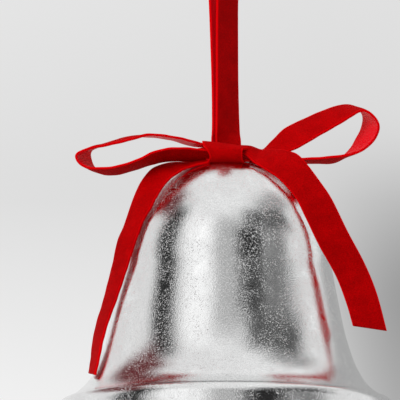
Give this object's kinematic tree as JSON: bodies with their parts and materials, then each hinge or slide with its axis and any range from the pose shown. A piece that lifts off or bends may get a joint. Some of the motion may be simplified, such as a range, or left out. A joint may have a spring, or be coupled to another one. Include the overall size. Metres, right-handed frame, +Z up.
{
  "type": "hanging bell ornament",
  "caption": "Spun metal bell with a flared lip and a swinging clapper, hung by a velvet ribbon loop and dressed with a ribbon bow.",
  "frame": {"origin": "hang point, on the inside of the fold at the top of the hanger ribbon", "axes": "+Z up, -Y towards the viewer of the bow, +X to the viewer's right"},
  "size_m": [0.134, 0.134, 0.1865],
  "materials": {
    "silvered_steel": "mottled silver leaf, worn bright",
    "ball_steel": "polished steel",
    "plated_wire": "nickel plated, bright",
    "zinc_hardware": "zinc plated, satin",
    "velvet_ribbon": "red velvet pile, satin back"
  },
  "bodies": {
    "ribbon": {"hanger_ribbon": "velvet_ribbon"},
    "bell": {"bell_shell": "silvered_steel", "crown_loop": "plated_wire", "leg_washer_left": "zinc_hardware", "leg_washer_right": "zinc_hardware", "backing_plate": "zinc_hardware", "leg_nut_left": "zinc_hardware", "leg_nut_right": "zinc_hardware", "clapper_eye": "plated_wire", "clapper_eye_nut": "zinc_hardware", "bow_knot": "velvet_ribbon", "bow_back_strap": "velvet_ribbon", "bow_loop_left": "velvet_ribbon", "bow_loop_right": "velvet_ribbon", "bow_tail_left": "velvet_ribbon", "bow_tail_right": "velvet_ribbon"},
    "clapper_link": {"clapper_link": "plated_wire"},
    "clapper": {"clapper_rod": "plated_wire", "clapper_ball": "ball_steel", "clapper_nut_upper": "zinc_hardware", "clapper_nut_lower": "zinc_hardware"}
  },
  "joints": [
    {"name": "bell_swing", "type": "hinge", "parent": "ribbon", "child": "bell", "pos_m": [0.0013, 0, -0.0735], "axis": [0.9063, 0.4226, 0], "range_deg": [-15, 15]},
    {"name": "link_swing", "type": "hinge", "parent": "bell", "child": "clapper_link", "pos_m": [0.0013, 0, -0.0939], "axis": [1, 0, 0], "range_deg": [-20, 20]},
    {"name": "clapper_swing", "type": "hinge", "parent": "clapper_link", "child": "clapper", "pos_m": [0.0013, 0, -0.1039], "axis": [0, 1, 0], "range_deg": [-24, 24]}
  ]
}
